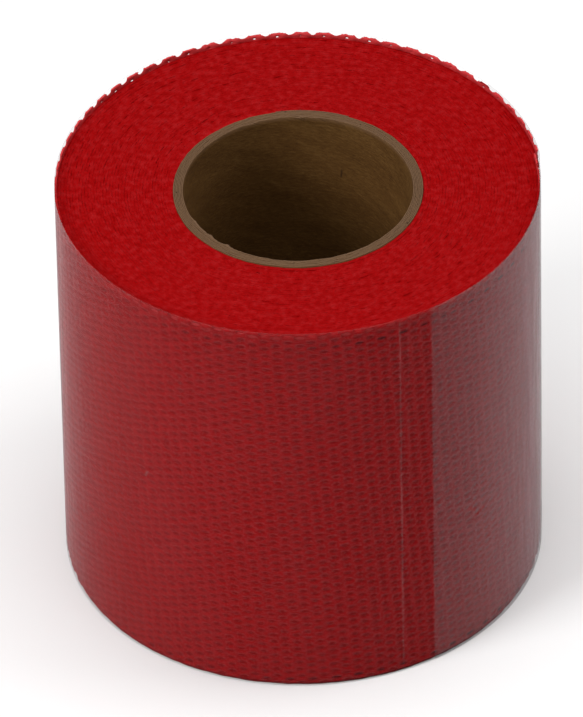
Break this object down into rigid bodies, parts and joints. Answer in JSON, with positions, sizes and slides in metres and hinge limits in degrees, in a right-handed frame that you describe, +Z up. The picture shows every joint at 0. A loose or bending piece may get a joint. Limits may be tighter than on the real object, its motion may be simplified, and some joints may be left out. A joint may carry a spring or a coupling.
{
  "type": "cloth tape roll",
  "caption": "Wide roll of red open-mesh cloth tape with a clear film face, wound on a spiral paper core; its loose film tab and laminated outer end lift off the roll on hinges.",
  "frame": {"origin": "centre of the core's bore at its bottom end, in the plane that the roll stands on", "axes": "+Z up the bore; the film's free edge is 32 degrees round from -Y towards +X, and the tape's outer end lifts anticlockwise seen from above"},
  "size_m": [0.1623, 0.1627, 0.1524],
  "materials": {
    "core_paper": "matte",
    "start_strip": "matte",
    "cloth": "matte",
    "adhesive": "satin",
    "film": "gloss"
  },
  "bodies": {
    "roll": {"core_inner_ply": "core_paper", "core_ply_2": "core_paper", "core_ply_3": "core_paper", "core_ply_4": "core_paper", "core_ply_5": "core_paper", "core_ply_6": "core_paper", "core_outer_ply": "core_paper", "start_strip": "start_strip", "cloth_roll": "cloth", "adhesive_roll": "adhesive", "film_roll": "film"},
    "web_end": {"cloth_end": "cloth", "adhesive_end": "adhesive", "film_end": "film"},
    "tab": {"film_tab": "film"}
  },
  "joints": [
    {"name": "web_end_lift", "type": "hinge", "parent": "roll", "child": "web_end", "pos_m": [0.0646, 0.05032, 0], "axis": [0, 0, 1], "range_deg": [0, 50]},
    {"name": "film_tab_lift", "type": "hinge", "parent": "web_end", "child": "tab", "pos_m": [0.07509, -0.03048, 0], "axis": [0, 0, 1], "range_deg": [0, 120]}
  ]
}
